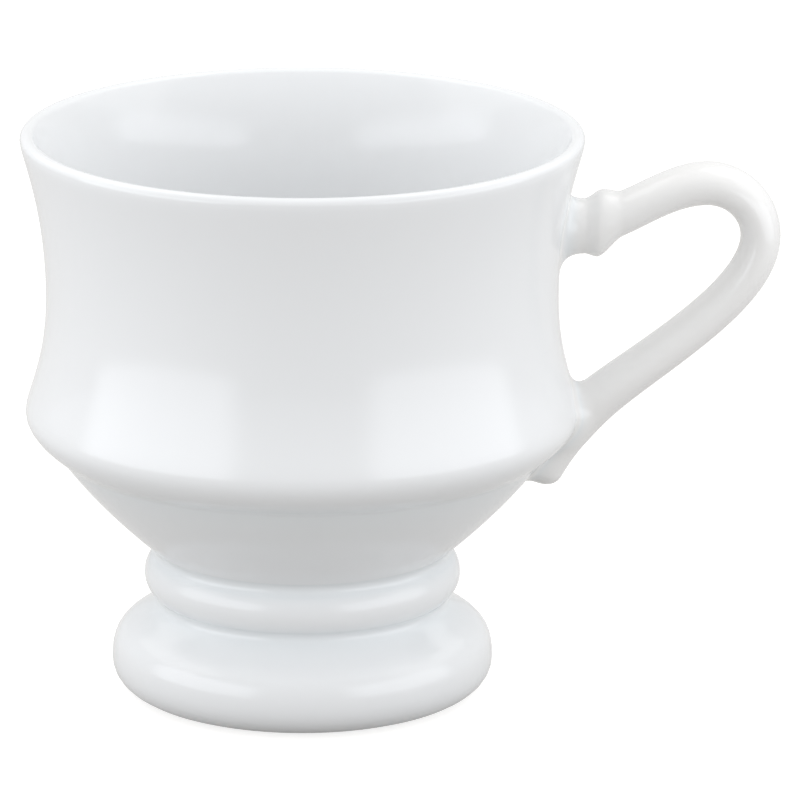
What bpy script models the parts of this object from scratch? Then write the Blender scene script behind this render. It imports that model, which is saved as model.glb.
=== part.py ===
"""Footed porcelain coffee cup: a turned bowl on a hollow pedestal foot, with a cast loop handle.

The three clay pieces are luted together with thin layers of slip, and each layer is a solid of its own.
Turned outlines are (radius, height) pairs about the cup's axis. The handle lies on the +X side.
"""
import math

import bmesh
import bpy
from mathutils import Vector

# Sizes in metres. Heights are above the surface that the cup stands on.
CUP_HEIGHT = 0.0821
RIM_RADIUS = 0.0400
LIP_ROUND = 0.0010
LIP_FLARE = math.radians(24)
WAIST_RADIUS = 0.0365
WAIST_HEIGHT = 0.0584
WAIST_ROUND_ABOVE = 0.075
WAIST_ROUND_BELOW = 0.051
SHOULDER_RADIUS = 0.03955
SHOULDER_HEIGHT = 0.0413
SHOULDER_ROUND_ABOVE = 0.0025
SHOULDER_ROUND_BELOW = 0.0031
CREASE_RADIUS = 0.0352
CREASE_HEIGHT = 0.0359
SHOULDER_UNDERSIDE_SLOPE = math.radians(35)
LOWER_BOWL_SWELL = 0.0007
WALL_THICKNESS = 0.0028
SHOULDER_WALL_THICKNESS = 0.0040
FLOOR_THICKNESS = 0.0038
FLOOR_FLAT_RADIUS = 0.0110

COLLAR_RADIUS = 0.0227
COLLAR_HEIGHT = 0.0171
COLLAR_ROUND = 0.0039
COLLAR_TOP_ANGLE = math.radians(62)
COLLAR_BOTTOM_ANGLE = math.radians(-69)
FOOT_RADIUS = 0.0274
FOOT_WIDEST_HEIGHT = 0.0046
FOOT_TOP_SLOPE = math.radians(44)
RING_OUTER_RADIUS = 0.0216
RING_INNER_RADIUS = 0.0188
FOOT_HOLLOW_DEPTH = 0.0150

NECK_BELOW_RIM = 0.0139
NECK_LENGTH = 0.0029
NECK_THICKNESS = 0.0077
NECK_FLARE_ABOVE = 0.0012
NECK_FLARE_BELOW = 0.0026
NECK_FLARE_ASIDE = 0.0014
BEAD_THICKNESS = 0.0094
BEAD_OFFSET = 0.0025
BEAD_FADE = 0.0023
BEAD_RISE = 0.0006
HANDLE_RISE_SLOPE = math.radians(24)
HANDLE_REACH = 0.0680
CROWN_BELOW_RIM = 0.0046
CROWN_THICKNESS = 0.0061
BEND_RADIUS = 0.0077
STRAP_THICKNESS = 0.0057
STRAP_WIDTH = 0.0084
STRAP_ROOT_FILLET = 0.0008
STRAP_ROOT_STANDOFF = 0.0013
STRAP_ROOT_DROP = 0.00025
STRAP_ROOT_SLOPE = math.radians(46)
TAIL_DROP = 0.0035
TAIL_SLOPE = math.radians(62)
TAIL_THICKNESS = 0.0046
TAIL_WIDTH = 0.0070

SLIP_THICKNESS = 0.0005
SLIP_BELOW_TAIL = 0.0011
FIT_GAP = 0.0003

# How far a curve's handles reach, as shares of the curve's span. A larger share makes a fuller curve.
FLOOR_FULLNESS = 0.6
INNER_SIDE_FULLNESS = 0.25
INNER_WAIST_FULLNESS = 0.4
INNER_LIP_FULLNESS = 0.26
UNDERSIDE_FULLNESS = 0.55
FOOT_TOP_FULLNESS = 0.74
FOOT_SIDE_FULLNESS = 0.64
FOOT_EDGE_FULLNESS = 0.75
RING_FULLNESS = 0.4
HOLLOW_FULLNESS = 0.7
STRAP_FULLNESS = 0.265

WHITE_GLAZE = (0.86, 0.87, 0.88)
GLAZE_ROUGHNESS = 0.12
BARE_SLIP = (0.82, 0.82, 0.81)
SLIP_ROUGHNESS = 0.3

# Facets round the turned pieces and the handle, and along each stretch of a curve
TURN_STEPS = 56
HANDLE_SIDES = 16
CURVE_STEPS = 6
LONG_STEPS = 14
PAD_ROWS = 12
PAD_COLUMNS = 4
LIP_STEPS = 4
TIP_STEPS = 4
MERGE_DISTANCE = 0.00001

# A cubic curve's handles are this share of the radius on a quarter circle.
QUARTER_HANDLE = 0.5523

# The handle's neck and crown keep their places below the rim.
NECK_HEIGHT = CUP_HEIGHT - NECK_BELOW_RIM
CROWN_HEIGHT = CUP_HEIGHT - CROWN_BELOW_RIM

# The bowl's underside and the foot's top leave room between them for the slip and a gap on each side.
JOINT_ROOM = SLIP_THICKNESS + 2 * FIT_GAP
COLLAR_CENTRE = Vector((COLLAR_RADIUS - COLLAR_ROUND, COLLAR_HEIGHT))
RIM_CENTRE = Vector((RIM_RADIUS - LIP_ROUND, CUP_HEIGHT - LIP_ROUND))


def polar(angle, radius):
    """The point at an angle and a distance from the origin."""
    return Vector((math.cos(angle), math.sin(angle))) * radius


COLLAR_TOP = COLLAR_CENTRE + polar(COLLAR_TOP_ANGLE, COLLAR_ROUND)
COLLAR_BOTTOM = COLLAR_CENTRE + polar(COLLAR_BOTTOM_ANGLE, COLLAR_ROUND)
BOWL_BASE_HEIGHT = COLLAR_TOP.y + JOINT_ROOM


def arc(centre, radius, start, end, steps):
    """Points on a circle from one angle to another, both ends included."""
    angles = [start + (end - start) * i / steps for i in range(steps + 1)]
    return [centre + polar(angle, radius) for angle in angles]


def curve(start, start_handle, end_handle, end, steps=CURVE_STEPS):
    """Points on a cubic curve, both ends included."""
    points = []
    for i in range(steps + 1):
        t = i / steps
        s = 1 - t
        points.append(s**3 * start + 3 * s * s * t * start_handle + 3 * s * t * t * end_handle + t**3 * end)
    return points


def line(start, end):
    """Evenly spaced points on a straight line, both ends included."""
    return [start.lerp(end, i / CURVE_STEPS) for i in range(CURVE_STEPS + 1)]


def upright_curve(start, end, start_round, end_round):
    """A curve that is upright at both ends, where it has the given radii of curvature."""
    step = abs(end.x - start.x)
    way = Vector((0, math.copysign(1, end.y - start.y)))
    start_handle = start + way * math.sqrt(2 / 3 * step * start_round)
    end_handle = end - way * math.sqrt(2 / 3 * step * end_round)
    return curve(start, start_handle, end_handle, end)


def joined(*stretches):
    """One outline from stretches that share their end points."""
    outline = list(stretches[0])
    for stretch in stretches[1:]:
        outline.extend(stretch[1:])
    return outline


def lower_bowl():
    """The lower bowl from the crease to the foot joint, swelling a little from a straight cone."""
    crease = Vector((CREASE_RADIUS, CREASE_HEIGHT))
    chord = COLLAR_TOP - crease
    outward = Vector((-chord.y, chord.x)).normalized()
    handle = outward * (4 / 3 * LOWER_BOWL_SWELL)
    whole = curve(crease, crease + chord / 3 + handle, crease + chord * 2 / 3 + handle, COLLAR_TOP)
    above_joint = [point for point in whole if point.y > BOWL_BASE_HEIGHT]
    last, below = above_joint[-1], whole[len(above_joint)]
    share = (last.y - BOWL_BASE_HEIGHT) / (last.y - below.y)
    return above_joint + [last.lerp(below, share)]


def bowl_outside():
    """The bowl's outer side from the lip's widest point down to the foot joint."""
    lip = Vector((RIM_RADIUS, CUP_HEIGHT - LIP_ROUND))
    waist = Vector((WAIST_RADIUS, WAIST_HEIGHT))
    shoulder = Vector((SHOULDER_RADIUS, SHOULDER_HEIGHT))
    crease = Vector((CREASE_RADIUS, CREASE_HEIGHT))
    shoulder_handle = shoulder - Vector((0, 2 / 3 * SHOULDER_ROUND_BELOW))
    overhang = SHOULDER_RADIUS - CREASE_RADIUS
    crease_handle = crease + polar(SHOULDER_UNDERSIDE_SLOPE, overhang * UNDERSIDE_FULLNESS)
    return joined(
        upright_curve(lip, waist, LIP_ROUND, WAIST_ROUND_ABOVE),
        upright_curve(waist, shoulder, WAIST_ROUND_BELOW, SHOULDER_ROUND_ABOVE),
        curve(shoulder, shoulder_handle, crease_handle, crease),
        lower_bowl(),
    )


def bowl_inside():
    """The bowl's inner side from the middle of the floor up to the lip."""
    floor = BOWL_BASE_HEIGHT + FLOOR_THICKNESS
    lip = RIM_CENTRE + polar(math.pi - LIP_FLARE, LIP_ROUND)
    waist = Vector((WAIST_RADIUS - WALL_THICKNESS, WAIST_HEIGHT))
    shoulder = Vector((SHOULDER_RADIUS - SHOULDER_WALL_THICKNESS, SHOULDER_HEIGHT + WALL_THICKNESS))
    floor_edge = Vector((FLOOR_FLAT_RADIUS, floor))
    shoulder_handle = shoulder - Vector((0, (SHOULDER_HEIGHT - floor) * INNER_SIDE_FULLNESS))
    floor_span = CREASE_RADIUS - WALL_THICKNESS - FLOOR_FLAT_RADIUS
    floor_handle = floor_edge + Vector((floor_span * FLOOR_FULLNESS, 0))
    rise = lip.y - waist.y
    waist_handle = waist + Vector((0, rise * INNER_WAIST_FULLNESS))
    lip_handle = lip - polar(math.pi / 2 - LIP_FLARE, rise * INNER_LIP_FULLNESS)
    return joined(
        [Vector((0, floor)), floor_edge],
        curve(floor_edge, floor_handle, shoulder_handle, shoulder),
        upright_curve(shoulder, waist, SHOULDER_ROUND_ABOVE, WAIST_ROUND_BELOW),
        curve(waist, waist_handle, lip_handle, lip),
    )


def foot_outside():
    """The foot's outer side: collar bead, flared top and rounded edge down to the standing ring."""
    widest = Vector((FOOT_RADIUS, FOOT_WIDEST_HEIGHT))
    ring = Vector((RING_OUTER_RADIUS, 0))
    flare = FOOT_RADIUS - COLLAR_BOTTOM.x
    top_handle = COLLAR_BOTTOM + polar(-FOOT_TOP_SLOPE, flare * FOOT_TOP_FULLNESS)
    widest_handle = widest + Vector((0, (COLLAR_BOTTOM.y - FOOT_WIDEST_HEIGHT) * FOOT_SIDE_FULLNESS))
    edge_handle = widest - Vector((0, FOOT_WIDEST_HEIGHT * FOOT_EDGE_FULLNESS))
    ring_handle = ring + Vector(((FOOT_RADIUS - RING_OUTER_RADIUS) * RING_FULLNESS, 0))
    return joined(
        arc(COLLAR_CENTRE, COLLAR_ROUND, COLLAR_TOP_ANGLE, COLLAR_BOTTOM_ANGLE, CURVE_STEPS),
        curve(COLLAR_BOTTOM, top_handle, widest_handle, widest),
        curve(widest, edge_handle, ring_handle, ring),
    )


def foot_hollow():
    """The hollow under the foot from the standing ring up to the middle of its ceiling."""
    ring = Vector((RING_INNER_RADIUS, 0))
    ceiling = Vector((0, FOOT_HOLLOW_DEPTH))
    ring_handle = ring + Vector((0, FOOT_HOLLOW_DEPTH * HOLLOW_FULLNESS))
    ceiling_handle = ceiling + Vector((RING_INNER_RADIUS * HOLLOW_FULLNESS, 0))
    return curve(ring, ring_handle, ceiling_handle, ceiling)


def widened(outline, distance):
    """An outline that runs downwards, moved outwards by a distance."""
    points = []
    last = len(outline) - 1
    for i, point in enumerate(outline):
        before = (point - outline[max(i - 1, 0)]).normalized()
        after = (outline[min(i + 1, last)] - point).normalized()
        along = (before + after).normalized()
        outward = Vector((-along.y, along.x))
        corner = max(along.dot(before), along.dot(after))
        points.append(point + outward * distance / corner)
    return points


def coating(name, colour, roughness):
    """A plain ceramic surface."""
    material = bpy.data.materials.new(name)
    material.use_nodes = True
    shader = material.node_tree.nodes["Principled BSDF"]
    shader.inputs["Base Color"].default_value = (*colour, 1)
    shader.inputs["Roughness"].default_value = roughness
    shader.inputs["Metallic"].default_value = 0
    return material


def add_object(name, mesh, parent):
    piece = bpy.data.objects.new(name, mesh)
    bpy.context.scene.collection.objects.link(piece)
    piece.parent = parent
    return piece


def finished(name, build, parent):
    """An object from a closed mesh under construction, with its faces pointing out."""
    bmesh.ops.recalc_face_normals(build, faces=build.faces)
    mesh = bpy.data.meshes.new(name)
    build.to_mesh(mesh)
    build.free()
    mesh.shade_smooth()
    return add_object(name, mesh, parent)


def turned(name, outline, parent):
    """A solid of revolution. The outline starts and ends on the axis and runs down its outer side."""
    mesh = bpy.data.meshes.new(name)
    edges = [(i, i + 1) for i in range(len(outline) - 1)]
    mesh.from_pydata([(point.x, 0, point.y) for point in outline], edges, [])
    piece = add_object(name, mesh, parent)
    turn = piece.modifiers.new("turn", 'SCREW')
    turn.steps = TURN_STEPS
    turn.render_steps = TURN_STEPS
    turn.use_merge_vertices = True
    turn.merge_threshold = MERGE_DISTANCE
    turn.use_smooth_shade = True
    return piece


def make_bowl(parent):
    up_to_rim = arc(RIM_CENTRE, LIP_ROUND, math.pi - LIP_FLARE, math.pi / 2, LIP_STEPS)
    down_from_rim = arc(RIM_CENTRE, LIP_ROUND, math.pi / 2, 0, LIP_STEPS)
    outline = joined(bowl_inside(), up_to_rim, down_from_rim, bowl_outside())
    outline.append(Vector((0, BOWL_BASE_HEIGHT)))
    bowl = turned("cup_bowl", outline, parent)
    bowl.data.materials.append(coating("bowl glaze", WHITE_GLAZE, GLAZE_ROUGHNESS))


def make_foot(parent):
    outline = [Vector((0, COLLAR_TOP.y))] + foot_outside() + foot_hollow()
    foot = turned("pedestal_foot", outline, parent)
    foot.data.materials.append(coating("foot glaze", WHITE_GLAZE, GLAZE_ROUGHNESS))


def make_foot_slip(parent):
    bottom = COLLAR_TOP.y + FIT_GAP
    top = bottom + SLIP_THICKNESS
    edge = COLLAR_TOP.x
    outline = [Vector((0, top)), Vector((edge, top)), Vector((edge, bottom)), Vector((0, bottom))]
    slip = turned("foot_slip", outline, parent)
    slip.data.materials.append(coating("foot slip", BARE_SLIP, SLIP_ROUGHNESS))


def point_at(outline, height):
    """The point of an outline that runs downwards at a height."""
    for upper, lower in zip(outline, outline[1:]):
        if lower.y <= height <= upper.y:
            return lower.lerp(upper, (height - lower.y) / (upper.y - lower.y))
    return outline[0] if height > outline[0].y else outline[-1]


def eased(t):
    """A share that leaves one end gently and comes gently to the other."""
    return t * t * (3 - 2 * t)


def filleted(t):
    """A share that changes quickly at first, as at the root of a fillet."""
    return 1 - (1 - t)**2


def late(t):
    """A share that changes only near the far end."""
    return t**4


def oval(thickness, width):
    """A section's half sizes: towards the handle's outer side, towards its inner side, and to each side."""
    return Vector((thickness / 2, thickness / 2, width / 2))


def graded(points, start, end, ease=eased, tilts=None):
    """A route's points, each with its section's size, graded from start to end, and the section's tilt.

    A section stands square to the route unless the tilts at the two ends of the stretch are given.
    """
    last = len(points) - 1
    route = []
    for i, point in enumerate(points):
        along = points[min(i + 1, last)] - points[max(i - 1, 0)]
        tilt = math.atan2(along.y, along.x)
        if tilts:
            tilt = tilts[0] + (tilts[1] - tilts[0]) * i / last
        route.append((point, start.lerp(end, ease(i / last)), tilt))
    return route


def neck_route():
    """The handle's neck from inside the wall out to its bead, flared where it meets the wall."""
    root = Vector((point_at(bowl_outside(), NECK_HEIGHT).x, NECK_HEIGHT))
    inside = root - Vector((WALL_THICKNESS, 0))
    neck = root + Vector((NECK_LENGTH, 0))
    bead = neck + Vector((BEAD_OFFSET, BEAD_RISE))
    level = Vector((BEAD_OFFSET / 2, 0))
    swell = curve(neck, neck + level, bead - level, bead)
    upright = (0, 0)
    narrow = oval(NECK_THICKNESS, NECK_THICKNESS)
    flared = narrow + Vector((NECK_FLARE_ABOVE, NECK_FLARE_BELOW, NECK_FLARE_ASIDE))
    return joined(
        graded([inside, root], flared, flared),
        graded(line(root, neck), flared, narrow, filleted),
        graded(swell, narrow, oval(BEAD_THICKNESS, BEAD_THICKNESS), tilts=upright),
    )


def strap_route(bead):
    """The strap from the neck's bead over the crown, round the bend and back to the shoulder."""
    fade = bead + polar(HANDLE_RISE_SLOPE, BEAD_FADE)
    bend = Vector((HANDLE_REACH - STRAP_THICKNESS / 2, CROWN_HEIGHT - CROWN_THICKNESS / 2 - BEND_RADIUS))
    crown = bend + Vector((-BEND_RADIUS, BEND_RADIUS))
    root = strap_root()
    reach = (crown - fade).length / 3
    quarter = BEND_RADIUS * QUARTER_HANDLE
    fall = (bend - root).length * STRAP_FULLNESS
    off_bead = line(bead, fade)
    rise = curve(fade, fade + polar(HANDLE_RISE_SLOPE, reach), crown - Vector((reach, 0)), crown)
    over = curve(crown, crown + Vector((quarter, 0)), bend + Vector((0, quarter)), bend)
    back = curve(bend, bend - Vector((0, fall)), root + polar(STRAP_ROOT_SLOPE, fall), root, LONG_STEPS)
    round_bead = oval(BEAD_THICKNESS, BEAD_THICKNESS)
    full = oval(CROWN_THICKNESS, STRAP_WIDTH)
    strap = oval(STRAP_THICKNESS, STRAP_WIDTH)
    return joined(
        graded(off_bead, round_bead, full, tilts=(0, HANDLE_RISE_SLOPE)),
        graded(rise, full, full),
        graded(over, full, strap),
        graded(back, strap, strap_root_section(), late),
    )


def strap_root():
    """The middle of the strap where it lies against the shoulder."""
    return Vector((SHOULDER_RADIUS + STRAP_ROOT_STANDOFF, SHOULDER_HEIGHT - STRAP_ROOT_DROP))


def strap_root_section():
    """The strap's section at the shoulder, filled out on the side that faces the wall."""
    return oval(STRAP_THICKNESS, STRAP_WIDTH) + Vector((0, STRAP_ROOT_FILLET, 0))


def tail_route():
    """The strap's lower end, along the shoulder and past the crease, with a rounded tip."""
    root = strap_root()
    tail = Vector((CREASE_RADIUS, CREASE_HEIGHT - TAIL_DROP))
    size = oval(TAIL_THICKNESS, TAIL_WIDTH)
    reach = (root - tail).length / 3
    tail_handle = tail + polar(TAIL_SLOPE, reach)
    along_shoulder = curve(root, root - polar(STRAP_ROOT_SLOPE, reach), tail_handle, tail)
    route = graded(along_shoulder, strap_root_section(), size)
    for i in range(1, TIP_STEPS):
        turn = math.pi / 2 * i / TIP_STEPS
        point = tail - polar(TAIL_SLOPE, TAIL_THICKNESS / 2 * math.sin(turn))
        route.append((point, size * math.cos(turn), math.pi + TAIL_SLOPE))
    return route


def swept(name, route, parent):
    """A closed bar of oval section along a route in the XZ plane."""
    build = bmesh.new()
    rings = []
    for centre, size, tilt in route:
        across = polar(tilt + math.pi / 2, 1)
        ring = []
        for k in range(HANDLE_SIDES):
            turn = polar(math.tau * k / HANDLE_SIDES, 1)
            flat = centre + across * turn.x * (size.x if turn.x > 0 else size.y)
            ring.append(build.verts.new((flat.x, turn.y * size.z, flat.y)))
        rings.append(ring)
    for ring, after in zip(rings, rings[1:]):
        for k in range(HANDLE_SIDES):
            j = (k + 1) % HANDLE_SIDES
            build.faces.new((ring[k], ring[j], after[j], after[k]))
    build.faces.new(rings[0])
    build.faces.new(rings[-1])
    return finished(name, build, parent)


def bowl_envelope(name, distance, parent):
    """A hidden solid of the bowl's outer shape, widened by a distance, for cutting what is luted to it."""
    side = widened(bowl_outside(), distance)
    outline = [Vector((0, side[0].y))] + side + [Vector((0, side[-1].y))]
    cutter = turned(name, outline, parent)
    cutter.hide_render = True
    cutter.display_type = 'WIRE'
    return cutter


def trim(piece, cutter, operation):
    cut = piece.modifiers.new(operation.lower(), 'BOOLEAN')
    cut.operation = operation
    cut.object = cutter
    cut.solver = 'EXACT'


def make_handle(parent):
    neck = neck_route()
    bead = neck[-1][0]
    handle = swept("handle", joined(neck, strap_route(bead), tail_route()), parent)
    trim(handle, bowl_envelope("handle seat", JOINT_ROOM, parent), 'DIFFERENCE')
    handle.data.materials.append(coating("handle glaze", WHITE_GLAZE, GLAZE_ROUGHNESS))


def stretch_between(outline, top, bottom):
    """Rows of an oval patch between two heights on an outline, each with its share of the width."""
    rows = []
    for i in range(PAD_ROWS):
        turn = math.pi * (i + 0.5) / PAD_ROWS
        height = (top + bottom) / 2 + (top - bottom) / 2 * math.cos(turn)
        rows.append((point_at(outline, height), math.sin(turn)))
    return rows


def slip_pad(name, top, bottom, width, parent):
    """A thin oval layer of slip on the bowl's side, between two heights."""
    build = bmesh.new()
    faces = []
    for distance in (FIT_GAP, FIT_GAP + SLIP_THICKNESS):
        grid = []
        for place, share in stretch_between(widened(bowl_outside(), distance), top, bottom):
            half_angle = width / 2 * share / place.x
            angles = [half_angle * (2 * k / PAD_COLUMNS - 1) for k in range(PAD_COLUMNS + 1)]
            spots = [polar(angle, place.x) for angle in angles]
            grid.append([build.verts.new((spot.x, spot.y, place.y)) for spot in spots])
        faces.append(grid)
    for grid in faces:
        for row, below in zip(grid, grid[1:]):
            for k in range(PAD_COLUMNS):
                build.faces.new((row[k], row[k + 1], below[k + 1], below[k]))
    inner, outer = [border(grid) for grid in faces]
    for k in range(len(inner)):
        build.faces.new((inner[k - 1], inner[k], outer[k], outer[k - 1]))
    return finished(name, build, parent)


def border(grid):
    """The points round the edge of a grid, in order."""
    right = [row[-1] for row in grid[1:-1]]
    left = [row[0] for row in grid[1:-1]]
    return grid[0] + right + grid[-1][::-1] + left[::-1]


def make_handle_slips(parent):
    neck_top = NECK_HEIGHT + NECK_THICKNESS / 2 + NECK_FLARE_ABOVE
    neck_bottom = NECK_HEIGHT - NECK_THICKNESS / 2 - NECK_FLARE_BELOW
    neck_width = NECK_THICKNESS + NECK_FLARE_ASIDE
    strap_top = strap_root().y + STRAP_THICKNESS / 2
    strap_bottom = CREASE_HEIGHT - TAIL_DROP - SLIP_BELOW_TAIL
    pads = [
        slip_pad("handle_slip_upper", neck_top, neck_bottom, neck_width, parent),
        slip_pad("handle_slip_lower", strap_top, strap_bottom, STRAP_WIDTH, parent),
    ]
    for pad in pads:
        pad.data.materials.append(coating(pad.name.replace("_", " "), BARE_SLIP, SLIP_ROUGHNESS))


def main():
    for old in list(bpy.data.objects):
        bpy.data.objects.remove(old, do_unlink=True)
    axis = add_object("cup axis", None, None)
    # The origin is under the middle of the whole cup, so the turning axis stands off it.
    axis.location.x = (RIM_RADIUS - HANDLE_REACH) / 2
    make_bowl(axis)
    make_foot(axis)
    make_foot_slip(axis)
    make_handle(axis)
    make_handle_slips(axis)


main()
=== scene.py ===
"""Footed porcelain coffee cup under one coat of white glaze, on a plain table in soft studio light.

The bowl and the foot are turned from their profiles by node trees. The handle is swept along its route, and
its two ends are filleted onto the bowl. Lengths are in metres. Profiles and the handle's route are about the
cup's axis, and the finished meshes lie where the frame has the cup.
"""
import math
from types import SimpleNamespace

import bpy
import numpy as np
from mathutils import Matrix, Vector


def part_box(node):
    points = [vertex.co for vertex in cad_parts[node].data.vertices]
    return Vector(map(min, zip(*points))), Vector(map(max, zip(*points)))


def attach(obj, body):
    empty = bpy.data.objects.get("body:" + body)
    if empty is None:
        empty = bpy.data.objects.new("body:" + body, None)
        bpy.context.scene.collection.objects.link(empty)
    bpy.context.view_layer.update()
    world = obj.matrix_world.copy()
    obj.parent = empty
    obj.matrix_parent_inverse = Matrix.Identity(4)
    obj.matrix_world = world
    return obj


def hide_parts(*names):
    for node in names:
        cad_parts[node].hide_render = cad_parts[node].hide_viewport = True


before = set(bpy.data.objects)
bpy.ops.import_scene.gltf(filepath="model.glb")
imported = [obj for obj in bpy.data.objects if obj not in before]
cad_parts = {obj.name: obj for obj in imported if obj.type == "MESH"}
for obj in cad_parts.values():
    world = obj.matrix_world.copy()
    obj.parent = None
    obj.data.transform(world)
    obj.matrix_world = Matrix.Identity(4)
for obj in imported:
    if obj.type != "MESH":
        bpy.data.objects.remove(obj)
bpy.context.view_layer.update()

bowl_low, bowl_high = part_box("cup_bowl")
foot_low, foot_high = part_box("pedestal_foot")
handle_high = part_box("handle")[1]
CUP_AXIS = Vector(((bowl_low.x + bowl_high.x) / 2, (bowl_low.y + bowl_high.y) / 2, 0))

# The bowl. Its rim and heights come from the frame, and the rest of the profile hangs on them.
BOWL = SimpleNamespace(
    rim_radius=(bowl_high.x - bowl_low.x) / 2,
    cup_height=bowl_high.z,
    lip_round=0.0010,
    waist_radius=0.0365,
    waist_height=0.0584,
    waist_round_above=0.075,
    waist_round_below=0.051,
    shoulder_radius=0.03955,
    shoulder_height=0.0413,
    shoulder_round_above=0.0025,
    shoulder_round_below=0.0031,
    crease_radius=0.0352,
    crease_height=0.0359,
    crease_fillet=0.0007,
    base_radius=0.0219,
    base_height=bowl_low.z,
    wall=0.0028,
    shoulder_wall=0.0040,
    floor=0.0038,
    floor_flat=0.0110,
)
LIP_FLARE = math.radians(24)
UNDERSIDE_SLOPE = math.radians(35)
UNDERSIDE_FULLNESS = 0.55
LOWER_BOWL_TOP_SLOPE = math.radians(54)
LOWER_BOWL_BASE_SLOPE = math.radians(41)
FLOOR_FULLNESS = 0.6
INNER_SIDE_FULLNESS = 0.25
INNER_WAIST_FULLNESS = 0.4
INNER_LIP_FULLNESS = 0.26
LOWER_BOWL_FULLNESS = 0.43

# The foot. A thin lip of glazed clay round its top closes the joint with the bowl.
FOOT = SimpleNamespace(
    joint_radius=BOWL.base_radius,
    joint_height=BOWL.base_height,
    seat_radius=0.0209,
    seat_height=foot_high.z,
    collar_radius=0.0227,
    collar_height=0.0171,
    collar_round=0.0039,
    crease_fillet=0.0015,
    foot_radius=(foot_high.x - foot_low.x) / 2,
    widest_height=0.0046,
    ring_outer=0.0216,
    ring_inner=0.0188,
    ring_round=0.0004,
    hollow_depth=0.0150,
)
COLLAR_TOP_ANGLE = math.radians(62)
COLLAR_BOTTOM_ANGLE = math.radians(-69)
FOOT_TOP_SLOPE = math.radians(44)
FOOT_TOP_FULLNESS = 0.74
FOOT_SIDE_FULLNESS = 0.64
FOOT_EDGE_FULLNESS = 0.75
RING_FULLNESS = 0.4
HOLLOW_FULLNESS = 0.7
FILLET_FULLNESS = 0.6

# Facets of the turned pieces
CURVE_STEPS = 64
ROW_SPACING = 0.0008
FEWEST_ROWS = 8
TURN_STEPS = 192
MERGE_DISTANCE = 0.000002
SHARP_ANGLE = math.radians(40)


def add_node(tree, kind, feeds=None, **settings):
    """A node with its settings. Feeds go from an input's name or number to a socket or a plain value."""
    node = tree.nodes.new(kind)
    for name, value in settings.items():
        setattr(node, name, value)
    for key, value in (feeds or {}).items():
        if isinstance(value, bpy.types.NodeSocket):
            tree.links.new(value, node.inputs[key])
        else:
            node.inputs[key].default_value = value
    return node


class Length:
    """A length in a node tree. Arithmetic on it makes Math nodes."""

    def __init__(self, tree, socket):
        self.tree = tree
        self.socket = socket

    def worked(self, operation, first, second):
        feeds = {i: getattr(value, "socket", value) for i, value in enumerate((first, second))}
        node = add_node(self.tree, 'ShaderNodeMath', feeds, operation=operation)
        return Length(self.tree, node.outputs[0])

    def __add__(self, other):
        return self.worked('ADD', self, other)

    def __sub__(self, other):
        return self.worked('SUBTRACT', self, other)

    def __mul__(self, other):
        return self.worked('MULTIPLY', self, other)

    def __truediv__(self, other):
        return self.worked('DIVIDE', self, other)

    def __pow__(self, other):
        return self.worked('POWER', self, other)

    def __radd__(self, other):
        return self.worked('ADD', other, self)

    def __rsub__(self, other):
        return self.worked('SUBTRACT', other, self)

    def __rmul__(self, other):
        return self.worked('MULTIPLY', other, self)


def moved(point, angle, distance):
    """A profile point moved by a distance, at an angle above the outward direction."""
    return point[0] + distance * math.cos(angle), point[1] + distance * math.sin(angle)


def between(start, end, share):
    return start[0] + (end[0] - start[0]) * share, start[1] + (end[1] - start[1]) * share


# A stretch of a profile is the four points of a cubic curve, and how much glaze pools at its two ends.
def straight(start, end, pooled=(0, 0)):
    return (start, between(start, end, 1 / 3), between(start, end, 2 / 3), end), pooled


def fillet(start, corner, end):
    """A rounded inner corner, full of glaze."""
    start_handle = between(start, corner, FILLET_FULLNESS)
    end_handle = between(end, corner, FILLET_FULLNESS)
    return (start, start_handle, end_handle, end), (1, 1)


def round_arc(centre, radius, start_angle, end_angle, pooled=(0, 0)):
    reach = radius * (4 / 3 * math.tan((end_angle - start_angle) / 4))
    start = moved(centre, start_angle, radius)
    end = moved(centre, end_angle, radius)
    start_handle = moved(start, start_angle + math.pi / 2, reach)
    end_handle = moved(end, end_angle - math.pi / 2, reach)
    return (start, start_handle, end_handle, end), pooled


def upright(start, end, step, start_round, end_round, way):
    """A stretch that is upright at both ends, has the given radii there, and steps in or out between them."""
    start_reach = (step * start_round * (2 / 3)) ** 0.5
    end_reach = (step * end_round * (2 / 3)) ** 0.5
    start_handle = (start[0], start[1] + way * start_reach)
    end_handle = (end[0], end[1] - way * end_reach)
    return (start, start_handle, end_handle, end), (0, 0)


def rim_centre(s):
    return s.rim_radius - s.lip_round, s.cup_height - s.lip_round


def bowl_inside(s):
    """The bowl's inner side from the middle of the floor up to the lip."""
    floor_height = s.base_height + s.floor
    edge = (s.floor_flat, floor_height)
    shoulder = (s.shoulder_radius - s.shoulder_wall, s.shoulder_height + s.wall)
    waist = (s.waist_radius - s.wall, s.waist_height)
    lip = moved(rim_centre(s), math.pi - LIP_FLARE, s.lip_round)
    rise = lip[1] - s.waist_height
    waist_handle = (waist[0], waist[1] + rise * INNER_WAIST_FULLNESS)
    lip_handle = moved(lip, math.pi / 2 - LIP_FLARE, rise * -INNER_LIP_FULLNESS)
    edge_handle = (edge[0] + (s.crease_radius - s.wall - s.floor_flat) * FLOOR_FULLNESS, floor_height)
    shoulder_handle = (shoulder[0], shoulder[1] - (s.shoulder_height - floor_height) * INNER_SIDE_FULLNESS)
    return [
        straight((0, floor_height), edge),
        ((edge, edge_handle, shoulder_handle, shoulder), (0, 0)),
        upright(shoulder, waist, shoulder[0] - waist[0], s.shoulder_round_above, s.waist_round_below, 1),
        ((waist, waist_handle, lip_handle, lip), (0, 0)),
    ]


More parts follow.
